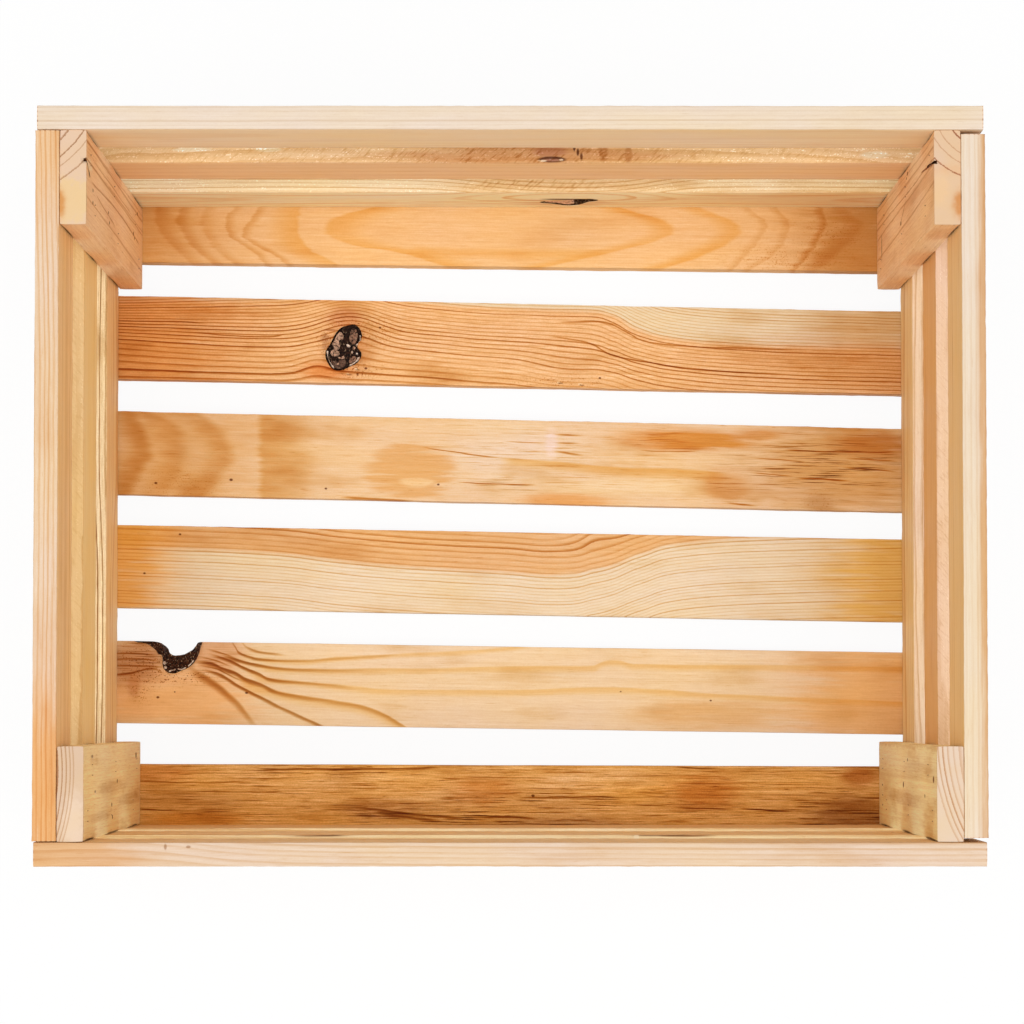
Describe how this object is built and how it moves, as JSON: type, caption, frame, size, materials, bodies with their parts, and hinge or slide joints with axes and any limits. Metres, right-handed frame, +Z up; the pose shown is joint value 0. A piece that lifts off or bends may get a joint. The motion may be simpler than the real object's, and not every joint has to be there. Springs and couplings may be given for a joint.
{
  "type": "wooden fruit crate",
  "caption": "Open-topped slatted softwood crate with corner posts, hand gaps between the wall slats and a slatted floor, for picking, carrying and stacking fruit.",
  "frame": {"origin": "on the ground, under the middle of the crate's outer box", "axes": "+X along the long side towards the right end, +Y across towards the far side, +Z up out of the open top"},
  "size_m": [0.5, 0.4, 0.25],
  "materials": {
    "wall_wood": "planed and lightly sanded raw pine",
    "post_wood": "rough-sawn raw pine with sawn end grain",
    "floor_wood": "planed raw pine with knots and strong growth rings",
    "staple_wire": "galvanised wire"
  },
  "bodies": {
    "root": {"far_left_post": "post_wood", "far_right_post": "post_wood", "near_left_post": "post_wood", "near_right_post": "post_wood", "far_bottom_slat": "wall_wood", "far_middle_slat": "wall_wood", "far_top_slat": "wall_wood", "near_bottom_slat": "wall_wood", "near_middle_slat": "wall_wood", "near_top_slat": "wall_wood", "left_bottom_slat": "wall_wood", "left_middle_slat": "wall_wood", "left_top_slat": "wall_wood", "right_bottom_slat": "wall_wood", "right_middle_slat": "wall_wood", "right_top_slat": "wall_wood", "floor_slat_1": "floor_wood", "floor_slat_2": "floor_wood", "floor_slat_3": "floor_wood", "floor_slat_4": "floor_wood", "floor_slat_5": "floor_wood", "floor_slat_6": "floor_wood", "left_end_staples": "staple_wire", "right_end_staples": "staple_wire", "far_side_staples": "staple_wire", "near_side_staples": "staple_wire", "left_floor_staples": "staple_wire", "right_floor_staples": "staple_wire"}
  },
  "joints": []
}
